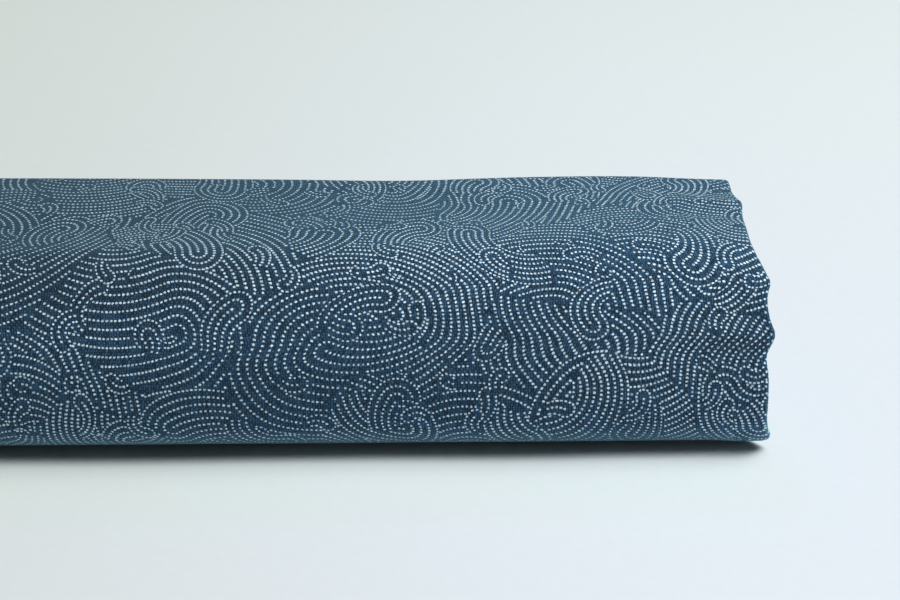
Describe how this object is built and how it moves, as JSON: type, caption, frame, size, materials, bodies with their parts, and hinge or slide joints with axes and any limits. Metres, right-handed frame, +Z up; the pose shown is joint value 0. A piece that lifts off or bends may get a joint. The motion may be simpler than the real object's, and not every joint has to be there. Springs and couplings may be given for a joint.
{
  "type": "folded printed cotton fabric",
  "caption": "Length of indigo printed cotton cloth folded into a flat, soft-edged pack with a round front fold.",
  "frame": {"origin": "middle of the underside, on the surface the pack lies on", "axes": "+X along the pack towards the end with the uneven fold, -Y towards the round front fold, +Z up"},
  "size_m": [0.2818, 0.0508, 0.0343],
  "materials": {
    "printed_cotton": "matt plain-weave cotton, deep indigo blue with rows of small pale dots printed on the right side"
  },
  "bodies": {
    "root": {"folded_cloth": "printed_cotton"}
  },
  "joints": []
}
